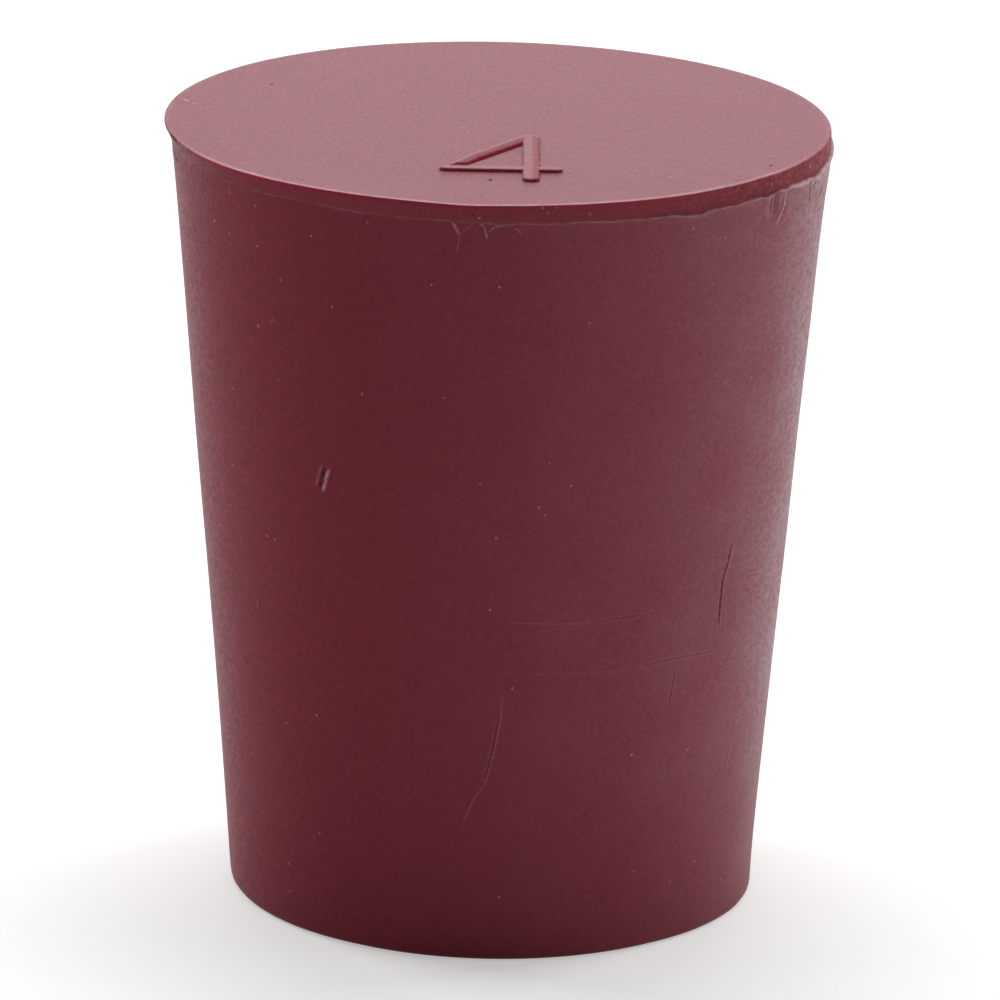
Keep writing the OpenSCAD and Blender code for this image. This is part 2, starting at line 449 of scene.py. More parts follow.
def square_from_disc(x, y):
    """The opposite of disc_from_square."""
    reach = np.hypot(x, y)
    turn = np.arctan2(y, x)
    quarter = np.round(turn / (math.pi / 2)).astype(int) % 4
    off = (turn - quarter * math.pi / 2 + math.pi) % (2 * math.pi) - math.pi
    side = reach * off * 4 / math.pi
    a = np.choose(quarter, [reach, -side, -reach, side])
    b = np.choose(quarter, [side, reach, -side, -reach])
    return a, b


class Cells:
    """A sheet of square cells that halve where the shape has fine detail."""

    def __init__(self, columns, rows, wraps):
        self.columns, self.rows, self.wraps = columns, rows, wraps
        self.split = [np.zeros((columns << k, rows << k), bool) for k in range(HALVINGS)]

    def refine(self, across, up, reach, halvings):
        """Halves the cells within reach of some spots, which are in coarse cells."""
        for k in range(halvings):
            side = 1 << k
            count = max(3, math.ceil(2 * reach * side) + 1)
            steps = np.linspace(-reach, reach, count)
            i = np.floor((np.asarray(across)[:, None] + steps) * side).astype(int)
            j = np.floor((np.asarray(up)[:, None] + steps) * side).astype(int)
            i = i % (self.columns * side) if self.wraps else i.clip(0, self.columns * side - 1)
            j = j.clip(0, self.rows * side - 1)
            self.split[k][i[:, :, None], j[:, None, :]] = True

    def settle(self):
        """Keeps neighbours within one halving of each other."""
        for k in range(HALVINGS - 1, 0, -1):
            fine = self.split[k]
            if self.wraps:
                grown = fine | np.roll(fine, 1, 0) | np.roll(fine, -1, 0)
            else:
                grown = fine.copy()
                grown[1:] |= fine[:-1]
                grown[:-1] |= fine[1:]
            tall = grown.copy()
            tall[:, 1:] |= grown[:, :-1]
            tall[:, :-1] |= grown[:, 1:]
            blocks = tall.reshape(tall.shape[0] // 2, 2, tall.shape[1] // 2, 2).any(axis=(1, 3))
            self.split[k - 1] |= blocks

    def leaves(self):
        """The cells that halve no further, by size: their side and low corners, in finest cells."""
        found = []
        there = np.ones((self.columns, self.rows), bool)
        for k in range(HALVINGS + 1):
            whole = there & ~self.split[k] if k < HALVINGS else there
            side = 1 << (HALVINGS - k)
            i, j = np.nonzero(whole)
            found.append((side, i * side, j * side))
            if k < HALVINGS:
                there = np.repeat(np.repeat(self.split[k], 2, 0), 2, 1)
        return found

    def wrapped(self, i):
        """A column counted on past the last comes round to the first."""
        return i % (self.columns << HALVINGS) if self.wraps else i

    def build(self):
        """Points in coarse cells, and faces: squares, and fans of triangles beside finer cells."""
        self.settle()
        leaves = self.leaves()
        used = np.zeros(((self.columns << HALVINGS) + 1, (self.rows << HALVINGS) + 1), bool)
        for side, i, j in leaves:
            for di in (0, side):
                for dj in (0, side):
                    used[self.wrapped(i + di), j + dj] = True
        corners = used.copy()
        squares, fans = [], []
        for side, i, j in leaves:
            loop = [(i, j), (i + side, j), (i + side, j + side), (i, j + side)]
            fanned = np.zeros(len(i), bool)
            if side > 1:
                half = side // 2
                mids = [(i + half, j), (i + side, j + half), (i + half, j + side), (i, j + half)]
                cut = [corners[self.wrapped(across), up] for across, up in mids]
                fanned = cut[0] | cut[1] | cut[2] | cut[3]
                for n in np.flatnonzero(fanned):
                    ring = []
                    for corner, mid, is_cut in zip(loop, mids, cut):
                        ring.append((corner[0][n], corner[1][n]))
                        if is_cut[n]:
                            ring.append((mid[0][n], mid[1][n]))
                    middle = (i[n] + half, j[n] + half)
                    used[middle] = True
                    fans.append((middle, ring))
            squares.append(np.stack([np.stack(corner, -1)[~fanned] for corner in loop], 1))
        number = np.full(used.shape, -1)
        spots = np.argwhere(used)
        number[spots[:, 0], spots[:, 1]] = np.arange(len(spots))
        squares = np.concatenate(squares)
        polygons = number[self.wrapped(squares[:, :, 0]), squares[:, :, 1]].tolist()
        for middle, ring in fans:
            centre = int(number[middle])
            names = [int(number[self.wrapped(across), up]) for across, up in ring]
            polygons += [[centre, names[n], names[(n + 1) % len(names)]] for n in range(len(names))]
        return spots / (1 << HALVINGS), polygons


class Plug:
    """The plug's form, worked out in mm from its sizes."""

    def __init__(self, sizes, wear):
        self.large = sizes.large_diameter / MM / 2
        self.small = sizes.small_diameter / MM / 2
        self.height = sizes.height / MM
        self.line = self.height - sizes.rim / MM
        self.small_edge = sizes.small_edge / MM
        self.large_edge = sizes.large_edge / MM
        self.wall_top = self.large - sizes.inset / MM
        self.half_stroke = sizes.stroke / MM / 2
        self.relief = sizes.relief / MM
        self.flash = wear.flash / MM
        self.shear = wear.shear / MM
        self.cut = wear.cut_depth / MM
        self.face_edge = self.large - self.large_edge
        self.foot_edge = self.small - self.small_edge
        # Rows and the heights where they lie: even on the wall, and close together at the parting line.
        self.row_heights = (
            (1.0, self.small_edge), (47.0, self.line - 0.6), (47.5, self.line - 0.25),
            (47.75, self.line - 0.12), (47.875, self.line - 0.06), (48.0, self.line - 0.02),
            (48.125, self.line + 0.02), (48.25, self.line + 0.07), (49.0, self.height - self.large_edge),
        )

    def wall_radius(self, z):
        """Radius of the straight drafted wall."""
        share = (z - self.small_edge) / (self.line - self.small_edge)
        return self.small + (self.wall_top - self.small) * share

    def rim_radius(self, z):
        """Radius of the rim, which widens from the wall's top to the large face's edge."""
        share = (z - self.line) / (self.height - self.large_edge - self.line)
        return self.wall_top + (self.large - self.wall_top) * share

    def along(self, degrees, start, z):
        """How far round the wall a place lies from an angle, in mm, the short way round."""
        turned = (degrees - start + 180) % 360 - 180
        return np.radians(turned) * self.wall_radius(z)

    def row_of(self, z):
        """The row at a height."""
        return ramp(z, [(height, row) for row, height in self.row_heights])

    def outline(self, v):
        """Radius and height at a row. The first row and the last are the rounded edges."""
        z = ramp(v, self.row_heights)
        r = np.where(v > LINE_ROW + 0.1, self.rim_radius(z), self.wall_radius(z))
        low = np.clip(v, 0, 1) * math.pi / 2
        high = np.clip(v - ROWS + 1, 0, 1) * math.pi / 2
        z = np.where(v < 1, self.small_edge * (1 - np.cos(low)), z)
        r = np.where(v < 1, self.foot_edge + self.small_edge * np.sin(low), r)
        z = np.where(v > ROWS - 1, self.height - self.large_edge * (1 - np.sin(high)), z)
        r = np.where(v > ROWS - 1, self.face_edge + self.large_edge * np.cos(high), r)
        return r, z


def round_waves(degrees, waves, reach=1.0):
    """Sum of waves round the plug, which die away towards the middle of a face."""
    return sum(h * reach ** m * np.sin(np.radians(m * degrees + p)) for h, m, p in waves)


def slow_waves(a, b, waves):
    """Sum of long waves over a skin."""
    return sum(h * np.sin(m * a + n * b + p) for h, m, n, p in waves)


def dome(gap, radius):
    """A round bump: 1 at its middle and 0 from its radius on."""
    return np.clip(1 - (gap / radius) ** 2, 0, 1)


def along_line(px, py, points):
    """Distance from points to a bent line, and how far along it each lies, from 0 to 1."""
    points = np.asarray(points, float)
    steps = np.hypot(*(points[1:] - points[:-1]).T)
    nearest = np.full(len(px), np.inf)
    share = np.zeros(len(px))
    done = 0.0
    for (ax, ay), (bx, by), step in zip(points[:-1], points[1:], steps):
        dx, dy = (bx - ax) / step, (by - ay) / step
        t = np.clip((px - ax) * dx + (py - ay) * dy, 0, step)
        gap = np.hypot(px - ax - t * dx, py - ay - t * dy)
        nearer = gap < nearest
        nearest = np.where(nearer, gap, nearest)
        share = np.where(nearer, (done + t) / steps.sum(), share)
        done += step
    return nearest, share


def walk(points, step):
    """Spots along a bent line, at most a step apart."""
    spots = []
    for (ax, ay), (bx, by) in zip(points[:-1], points[1:]):
        count = max(2, math.ceil(math.hypot(bx - ax, by - ay) / step) + 1)
        for t in np.linspace(0, 1, count):
            spots.append((ax + (bx - ax) * t, ay + (by - ay) * t))
    return np.array(spots)


def beside_stroke(px, py, a, b):
    """Distance from points to a straight stroke, which side of it they lie on, from -1 left to 1 right,
    how much that side looks towards the reader, and how far along the stroke they are."""
    (ax, ay), (bx, by) = a, b
    size = math.hypot(bx - ax, by - ay)
    dx, dy = (bx - ax) / size, (by - ay) / size
    t = np.clip((px - ax) * dx + (py - ay) * dy, 0, size)
    ox, oy = px - ax - t * dx, py - ay - t * dy
    gap = np.hypot(ox, oy)
    safe = np.maximum(gap, 1e-6)
    return gap, (ox * dy - oy * dx) / safe, -oy / safe, t / size


def rim_of(a, b, half):
    """Spots round the outline of a stroke that is rounded at both ends."""
    (ax, ay), (bx, by) = a, b
    along = math.atan2(by - ay, bx - ax)
    turns = np.radians(np.arange(-90, 91, 3))
    far = [(bx + half * math.cos(along + t), by + half * math.sin(along + t)) for t in turns]
    near = [(ax - half * math.cos(along + t), ay - half * math.sin(along + t)) for t in turns]
    return walk(far + near + far[:1], 0.01)


def mark_relief(gap, share, width, rise):
    """Cross-section of a mark: a rounded score or ridge and the rubber it pushed aside. Its ends fade."""
    ends = np.clip(6 * share, 0, 1) * np.clip(6 * (1 - share), 0, 1)
    core = np.exp(-((gap / (0.5 * width)) ** 2))
    aside = np.exp(-(((gap - width) / (0.45 * width)) ** 2))
    return ends * (rise * core - 0.3 * rise * aside)


def strewn(wear):
    """Specks at seeded places on the wall and on the large face."""
    rng = np.random.default_rng(wear.seed)
    on_wall = [
        (rng.uniform(-180, 180), rng.uniform(*STREWN_UP), rng.uniform(*WALL_SPECK_RADII))
        for _ in range(int(wear.specks * STREWN_ON_WALL))
    ]
    on_face = []
    for _ in range(wear.specks - len(on_wall)):
        r = STREWN_REACH * math.sqrt(rng.uniform(0, 1))
        t = rng.uniform(0, 2 * math.pi)
        on_face.append((r * math.cos(t), r * math.sin(t), rng.uniform(*FACE_SPECK_RADII)))
    return on_wall, on_face


def wall_cells(plug, specks):
    """Cells of the wall, finer along its edges and the parting line, and at its marks and specks."""
    cells = Cells(COLUMNS, ROWS, wraps=True)
    ring = np.arange(0, COLUMNS, 0.1)
    for row, halvings in FINE_ROWS:
        cells.refine(ring, np.full(len(ring), row), 0.04, halvings)
    for _, width, points in WALL_MARKS:
        spots = walk([(math.radians(d) * plug.wall_radius(z), z) for d, z in points], 0.02)
        across = np.degrees(spots[:, 0] / plug.wall_radius(spots[:, 1])) / COLUMN_DEGREES
        cells.refine(across, plug.row_of(spots[:, 1]), 0.9 * width / WALL_CELL, DETAIL_HALVINGS)
    for d, z, radius in specks:
        cells.refine([d / COLUMN_DEGREES], [plug.row_of(z)], radius / WALL_CELL, DETAIL_HALVINGS)
    # The rounded edges stay as coarse as the faces' edges, which they meet.
    for k in range(EDGE_HALVINGS, HALVINGS):
        cells.split[k][:, :1 << k] = False
        cells.split[k][:, -(1 << k):] = False
    return cells


def lip_share(degrees):
    """How far the lip stands out round the plug: thin flash tore off, so that no lip is left there."""
    return np.clip(1.4 * round_table(degrees, FLASH_AMOUNT) - 0.3, 0, 1)


def rightness(degrees):
    """How far a place lies to the right, from 0 at the left side to 1 at the right side."""
    return 0.5 + 0.5 * np.sin(np.radians(degrees))


def moulded_wall(plug, degrees, v):
    """Radius and height of the wall, rim and rounded edges as they left the mould."""
    turn, right = np.radians(degrees), rightness(degrees)
    r, z = plug.outline(v)
    # The parting line strays up and down, and takes the rows beside it along.
    z = z + (round_table(degrees, LINE_STRAY) + slow_waves(turn, 0, LINE_WAVES)) * ramp(v, LINE_ROWS)
    give = right * ramp(z, GIVE_RIGHT) + (1 - right) * ramp(z, GIVE_LEFT)
    r = r + ramp(v, GIVE_ROWS) * give
    r = r + ramp(v, UNEVEN_ROWS) * slow_waves(turn, z, WALL_WAVES)
    r = r + round_table(degrees, FOOT_OUT) * np.exp(-z / FOOT_OUT_HEIGHT)
    r = r + lip_share(degrees) * plug.flash * ramp(v, LIP_ROWS)
    return r, z


def wall_skin(degrees, v, z):
    """What the skin of the wall and the rim carries where nothing has marked it."""
    turn, flash = np.radians(degrees), round_table(degrees, FLASH_AMOUNT)
    # The lip is painted pale in patches, partly worn and partly a painted highlight, and lower down where
    # it is torn.
    foot = round_table(degrees, TORN_FOOT)
    paled = np.where(v > LINE_ROW, ramp(v, LIP_PALED_ROWS), (v - foot) / (LINE_ROW - foot))
    patches = np.clip(0.75 + 0.5 * np.sin(37 * turn + 1) * np.sin(61 * turn), 0, 1)
    edge_highlight_varies = 1 + 0.3 * np.sin(53 * turn) * np.sin(31 * turn + 1)
    # A painted highlight along the large face's edge, patchy round it.
    edge = edge_highlight_varies * round_table(degrees, EDGE_HIGHLIGHT) * ramp(v, EDGE_HIGHLIGHT_ROWS)
    lip = lip_share(degrees)
    freckles = [round_table(degrees, table) for table in (RIM_FRECKLES, WALL_FRECKLES)]
    return {
        "dust": 0.9 * lip * patches * np.clip(2 * paled, 0, 1) * round_table(degrees, TORN_CHALK),
        # Worn ridges and painted highlights on the lip and along the large face's edge.
        "scuff": np.maximum(0.8 * flash * patches * np.clip(paled, 0, 1), edge),
        # Painted shade: the line of deeper, clearer red under the large face's edge.
        "deep": round_table(degrees, RIM_RED_SHADE) * ramp(v, RED_SHADE_ROWS),
        # Painted shade at the foot on the right side; the crease above the lip is darker.
        "grime": np.maximum(rightness(degrees) * ramp(z, FOOT_SHADE), 0.3 * lip * ramp(v, CREASE_ROWS)),
        "freckles": np.where(v > LINE_ROW, *freckles),
    }


def score(plug, mark, degrees, v, r, z, skin, bare):
    """Makes one mark in the wall. A ridge is rubbed pale, a cut is bare, and a narrow cut is darkened."""
    rise, width, points = mark
    start = points[0][0]
    heights = [h for _, h in points]
    # A mark below the parting line stops there, and one that starts high in the rim crosses it.
    last_row = TOP_EDGE_ROW if max(heights) >= plug.height - RIM_MARK else LINE_ROW
    near = np.flatnonzero((z > min(heights) - 1) & (z < max(heights) + 1) & (v < last_row))
    px, py = plug.along(degrees[near], start, z[near]), z[near]
    bent = [(math.radians(d - start) * plug.wall_radius(h), h) for d, h in points]
    gap, share = along_line(px, py, bent)
    ragged = np.clip(0.75 + 0.5 * np.sin(31 * px + 2) * np.sin(23 * py + 1), 0, 1.1)
    relief = (0.8 if width > WIDE_MARK else ragged) * mark_relief(gap, share, width, rise)
    r[near] += plug.cut * relief
    kept_pale = skin["scuff"][near] * (1 - np.clip(-relief, 0, 1))
    skin["scuff"][near] = np.maximum(kept_pale, 0.8 * relief)
    bare[near] = np.maximum(bare[near], -0.45 * relief)
    if width < WIDE_MARK:
        skin["grime"][near] = np.maximum(skin["grime"][near], -0.5 * relief)


def wall_bloom_and_sheen(degrees, v, z, bare):
    """Bloom on the wall and the rim, partly painted sheen, and the talc, partly a painted reflection, that
    comes over the edge of the large face.
    """
    bloom = round_table(degrees, BLOOM_AND_SHEEN_ROUND) * ramp(z, BLOOM_AND_SHEEN_UP)
    flash = round_table(degrees, FLASH_AMOUNT)
    # Painted sheen under the lip on the right side.
    bloom = bloom + 0.15 * rightness(degrees) * flash * ramp(v, LIP_SHEEN_ROWS)
    bloom = np.where(v > LINE_ROW, round_table(degrees, RIM_BLOOM_AND_SHEEN), bloom) * (1 - np.clip(bare, 0, 1))
    return np.where(v > TALC_ROW, 1.0, bloom)


def wall_sheet(plug, specks, grains):
    """The wall, rim and both rounded edges as one band of cells, in mm, with its wear."""
    spots, polygons = wall_cells(plug, specks + grains).build()
    degrees = (spots[:, 0] * COLUMN_DEGREES + 180) % 360 - 180
    turn, v = np.radians(degrees), spots[:, 1]
    r, z = moulded_wall(plug, degrees, v)
    skin = wall_skin(degrees, v, z)
    bare = np.zeros(len(v))
    for mark in WALL_MARKS:
        score(plug, mark, degrees, v, r, z, skin, bare)
    for kind, places, strength in (("dust", specks, 0.45), ("grime", grains, 0.6)):
        for d, h, radius in places:
            near = np.flatnonzero(np.abs(z - h) < 2 * radius)
            bump = dome(np.hypot(plug.along(degrees[near], d, z[near]), z[near] - h), radius)
            r[near] += 0.4 * radius * bump
            skin[kind][near] = np.maximum(skin[kind][near], strength * np.clip(2 * bump, 0, 1))
    # The rim follows the large face's own shape, with a ledge behind the lip, and slipped to the left.
    upper = ramp(v, UPPER_ROWS)
    ledge = LEDGE * np.clip(2 * round_table(degrees, FLASH_AMOUNT) - 0.8, 0, 1) * ramp(v, LEDGE_ROWS)
    r = r + upper * round_waves(degrees, FACE_OUT) - ledge
    x, y = r * np.sin(turn) + plug.shear * ramp(v, SLIP_ROWS), -r * np.cos(turn)
    z = z + upper * (round_waves(degrees, FACE_UP) + round_table(degrees, FACE_STRAY))
    z = z + ramp(v, FACE_ROWS) * slow_waves(x, y, FACE_WAVES)
    skin["bloom"] = wall_bloom_and_sheen(degrees, v, z, bare)
    # Painted shade on the rim on the right side.
    skin["grime"] = skin["grime"] + (v > LINE_ROW) * round_table(degrees, RIM_SHADE)
    rows = np.array([np.mean(v[p]) for p in polygons])
    parts = np.select((rows < LINE_ROW, rows < TOP_EDGE_ROW), (WALL_SKIN, RIM_SKIN), FACE_SKIN).tolist()
    return np.stack([x, y, z], 1), polygons, parts, skin


def round_face_cells():
    """Cells of a round face, halved along its edge as often as the wall's last row."""
    cells = Cells(GRID, GRID, wraps=False)
    for split in cells.split[:EDGE_HALVINGS]:
        for line in (split[0], split[-1], split[:, 0], split[:, -1]):
            line[:] = True
    return cells


def face_cells(plug, specks):
    """Cells of the large face, finer at the numeral's strokes and at the specks."""
    cells = round_face_cells()

    def refine(x, y, reach, halvings):
        i, j = square_from_disc(x / plug.face_edge, y / plug.face_edge)
        cells.refine((i + 1) * GRID / 2, (j + 1) * GRID / 2, reach / FACE_CELL, halvings)

    for stroke in NUMERAL:
        half = stroke.width * plug.half_stroke
        refine(*walk((stroke.start, stroke.end), 0.05).T, 1.3 * half, DETAIL_HALVINGS)
        refine(*rim_of(stroke.start, stroke.end, half).T, 0.02, HALVINGS)
        if stroke.narrow > 1:
            # A lopsided stroke has a sharp crest.
            refine(*walk((stroke.start, stroke.end), 0.02).T, 0.11, HALVINGS)
    for x, y, radius in specks:
        if math.hypot(x, y) < plug.face_edge - EDGE_CLEAR:
            refine(np.array([x]), np.array([y]), radius, DETAIL_HALVINGS)
    return cells


def unit_face(cells):
    """A round face one unit in radius: its points, their reach from the middle and their angles in degrees,
    its polygons, and a skin that carries nothing yet."""
    spots, polygons = cells.build()
    x, y = disc_from_square(spots[:, 0] * 2 / GRID - 1, spots[:, 1] * 2 / GRID - 1)
    skin = {kind: np.zeros(len(x)) for kind in AMOUNTS}
    return x, y, np.hypot(x, y), np.degrees(np.arctan2(x, -y)), polygons, skin


def raise_numeral(plug, x, y, skin):
    """Height of the numeral as a share of its full relief. Its left side keeps its talc, its crests and far
    edges get a painted highlight, its near sides get painted shade and lose their talc, and a little
    painted shadow lies at their feet."""
    raised, shade = np.zeros(len(x)), np.zeros(len(x))
    upright = np.full(len(x), np.inf)
    for stroke in NUMERAL:
        half = stroke.width * plug.half_stroke
        gap, side, towards, along = beside_stroke(x, y, stroke.start, stroke.end)
        gap = gap * (1 + (stroke.narrow - 1) * (0.5 - 0.5 * side))
        across = gap / half
        slope = stroke.left_slope + (stroke.right_slope - stroke.left_slope) * (0.5 + 0.5 * side)
        fall = np.clip((across - 1 + slope) / slope, 0, 1)
        fall = np.maximum(fall, ramp(y - stroke.cut_at, ((0, 1), (0.1, 0))))
        drop = fall ** stroke.crown
        # The upright stroke stands whole: the others meet it at its edges.
        clear = ramp(upright, ((0.5, 0), (0.95, 1)))
        height = np.sqrt(1 - drop) * clear * ramp(along, ((0, 1 / stroke.narrow), (0.3, 1)))
        higher = (height > raised) | ((across < 1.3) & (upright > 1.05) & (raised < 0.5))
        raised = np.maximum(raised, height)
        # Bare rubber with painted shade shows from the middle of a side down, most where the side looks
        # towards the reader, broken up where the side looks sideways. A lopsided stroke shows it lower
        # down.
        middle, late = 0.39 - 0.04 * stroke.narrow, 0.04 * (stroke.narrow - 1)
        steep = ramp(drop, (
            (0.12 / stroke.narrow, 0), (0.12 / stroke.narrow + 0.1, middle), (0.5 + late, 1.4 * middle),
            (0.62 + late, 0.95), (0.88, 1), (1, 0.8),
        ))
        broken = 0.9 * (1 - np.abs(towards)) ** 2 * (0.5 + 0.3 * np.sin(15 * y) + 0.2 * np.sin(27 * y + 2))
        outside = ramp(across, ((1, 1), (1.12, 0)))
        bared = steep * outside * (1 - broken) * np.clip(0.55 + 0.9 * towards, 0, 1)
        skin["deep"] = np.where(higher, bared, skin["deep"])
        # The talc, partly a painted reflection, is rubbed off towards one side of each stroke.
        rubbed = 0.9 * ramp(side * across, ((stroke.rubbed_from, 0), (stroke.rubbed_from + 0.6, 1)))
        skin["bloom"] = np.where(higher, 1 - rubbed * outside, skin["bloom"])
        # A painted highlight along the far edges, which look away from the reader, and a faint one on the
        # crests.
        flank = ramp(across, (
            (0.4 / stroke.narrow, 0), (0.7 / stroke.narrow, 1), (1, 1), (1 + 0.1 * stroke.narrow, 0),
        ))
        pale = np.clip(-1.4 * towards, 0, 0.5) * flank * clear
        skin["scuff"] = np.maximum(np.where(higher, 0.12 * (fall < 0.1), skin["scuff"]), pale)
        # A painted shadow at the feet of the near sides.
        foot = ramp(gap - half, ((0, 1), (0.1, 1), (0.55, 0))) * np.clip(towards, 0, 1)
        shade = np.maximum(shade, 0.1 * foot * (gap > half))
        if stroke is NUMERAL[0]:
            upright = across
    skin["grime"] = np.where(raised > 0, 0, shade)
    return raised


def face_sheet(plug, specks, grains):
    """The large face with its raised numeral, in mm, with its wear."""
    cells = face_cells(plug, specks + grains + list(FACE_PITS))
    x, y, reach, degrees, polygons, skin = unit_face(cells)
    spread = plug.face_edge + reach * round_waves(degrees, FACE_OUT, reach)
    x, y = x * spread, y * spread
    z = plug.height + round_waves(degrees, FACE_UP, reach) + reach ** 6 * round_table(degrees, FACE_STRAY)
    z = z + slow_waves(x - plug.shear, y, FACE_WAVES)
    # Talc all over the face, partly a painted reflection that makes it pale.
    skin["bloom"] += 1
    skin["freckles"] += FACE_FRECKLES
    # A painted highlight along the edge, in the widest band at the front.
    band = 0.03 + 0.12 * np.clip(np.cos(np.radians(degrees)), 0, 1) ** 2
    in_band = ramp((1 - reach) * plug.face_edge / band, ((0, 1), (1, 0)))
    skin["scuff"] = 0.7 * round_table(degrees, EDGE_HIGHLIGHT) * in_band
    z = z + plug.relief * raise_numeral(plug, x, y, skin)
    for kind, places, strength in (("dust", specks, 0.6), ("grime", grains, 1.0)):
        for sx, sy, radius in places:
            bump = dome(np.hypot(x - sx, y - sy), radius)
            z = z + 0.6 * radius * bump
            skin[kind] = np.maximum(skin[kind], strength * np.clip(2 * bump, 0, 1))
    for sx, sy, radius in FACE_PITS:
        z = z - 0.8 * radius * dome(np.hypot(x - sx, y - sy), radius)
    skin["bloom"] = skin["bloom"] * (1 - skin["deep"])
    parts = [NUMERAL_SIDE_SKIN if np.mean(skin["deep"][p]) > BARE_FROM else FACE_SKIN for p in polygons]
    return np.stack([x - plug.shear, y, z], 1), polygons, parts, skin


def foot_sheet(plug):
    """The plain small face, in mm."""
    x, y, reach, degrees, polygons, skin = unit_face(round_face_cells())
    spread = plug.foot_edge + reach * round_table(degrees, FOOT_OUT)
    skin["bloom"] += FOOT_BLOOM
    skin["freckles"] += FOOT_FRECKLES
    looking_down = [p[::-1] for p in polygons]
    return np.stack([x * spread, y * spread, 0 * x], 1), looking_down, [WALL_SKIN] * len(polygons), skin


def joined(sheets, name):
    """One closed mesh in metres from sheets that meet at their edges."""
    points, polygons, parts = [], [], []
    count = 0
    for sheet_points, sheet_polygons, sheet_parts, _ in sheets:
        points.append(sheet_points)
        polygons += [[n + count for n in polygon] for polygon in sheet_polygons]
        parts += sheet_parts
        count += len(sheet_points)
    mesh = bpy.data.meshes.new(name)
    mesh.from_pydata((np.concatenate(points) * MM).tolist(), [], polygons)
    mesh.polygons.foreach_set("material_index", parts)
    for kind in AMOUNTS:
        values = np.concatenate([skin[kind] for *_, skin in sheets])
        mesh.attributes.new(kind, "FLOAT", "POINT").data.foreach_set("value", values)
    bm = bmesh.new()
    bm.from_mesh(mesh)
    bmesh.ops.remove_doubles(bm, verts=bm.verts, dist=SAME_POINT)
    bm.to_mesh(mesh)
    bm.free()
    mesh.shade_smooth()
    return mesh


# A Mix node has several sockets of the same name, so those for colours are reached by number.
MIX_UNDER, MIX_OVER, MIX_RESULT = 6, 7, 2


def node(tree, kind, settings, links):
    """Adds one node with its settings, and sets or links its sockets."""
    made = tree.nodes.new(kind)
    for name, value in settings.items():
        setattr(made, name, value)
    for name, value in links.items():
        socket = made.inputs[name]
        if isinstance(value, bpy.types.NodeSocket):
            tree.links.new(value, socket)
        else:
            socket.default_value = value
    return made


def per_mm(size):
    """Scale of a pattern whose features are this many millimetres apart."""
    return 1 / (size * MM)


